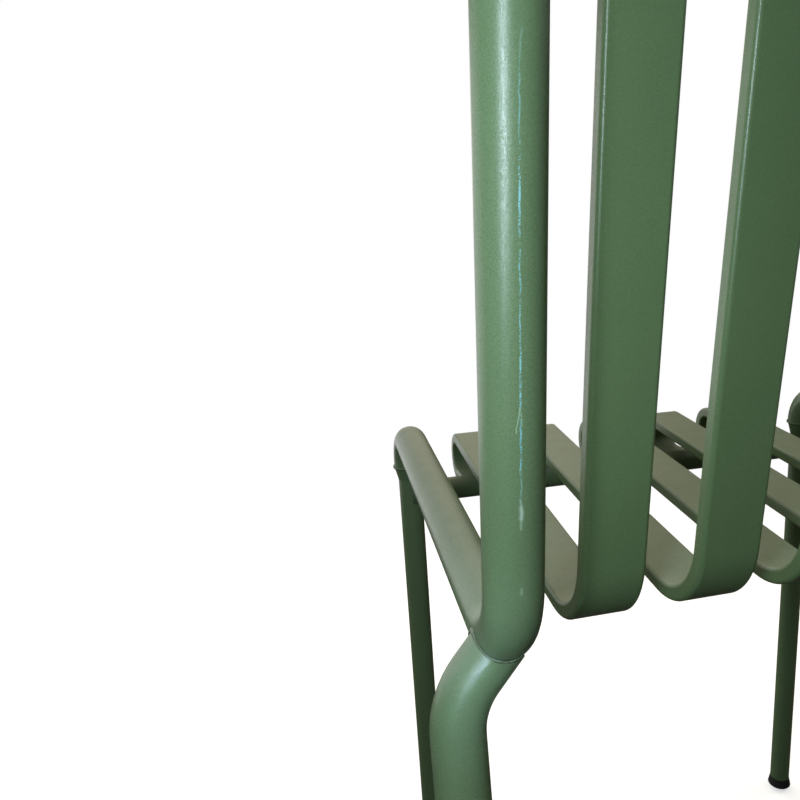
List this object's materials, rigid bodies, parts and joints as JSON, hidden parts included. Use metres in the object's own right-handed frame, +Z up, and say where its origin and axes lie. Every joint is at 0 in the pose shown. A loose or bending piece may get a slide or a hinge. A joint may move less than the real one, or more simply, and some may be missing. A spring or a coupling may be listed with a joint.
{
  "type": "garden chair",
  "caption": "Armless stacking garden chair for patio and porch seating: welded bent tube frame and flat metal slats that run from the top of the back to a rolled seat front.",
  "frame": {"origin": "on the floor, under the centre of the chair's bounding box", "axes": "-Y towards the front of the seat, +X towards the sitter's left, +Z up"},
  "size_m": [0.4714, 0.4836, 0.8],
  "materials": {
    "tube_powder_coat": "satin sage green powder coat on steel tube",
    "slat_powder_coat": "satin sage green powder coat on flat steel tube",
    "weld_powder_coat": "satin sage green powder coat over weld beads",
    "glide_plastic": "moulded dark plastic, worn flat underneath"
  },
  "bodies": {
    "root": {"left_side_tube": "tube_powder_coat", "right_side_tube": "tube_powder_coat", "back_top_rail": "tube_powder_coat", "front_leg_left": "tube_powder_coat", "front_leg_right": "tube_powder_coat", "rear_leg_left": "tube_powder_coat", "rear_leg_right": "tube_powder_coat", "front_cross_rail": "tube_powder_coat", "slat_1": "slat_powder_coat", "slat_2": "slat_powder_coat", "slat_3": "slat_powder_coat", "slat_4": "slat_powder_coat", "slat_5": "slat_powder_coat", "glide_front_left": "glide_plastic", "glide_front_right": "glide_plastic", "glide_rear_left": "glide_plastic", "glide_rear_right": "glide_plastic", "weld_rear_leg_left": "weld_powder_coat", "weld_rear_leg_right": "weld_powder_coat", "welds_cross_rail": "weld_powder_coat", "welds_slat_fronts": "weld_powder_coat", "welds_slat_tops": "weld_powder_coat", "welds_front_legs": "weld_powder_coat", "welds_hoop": "weld_powder_coat"}
  },
  "joints": []
}
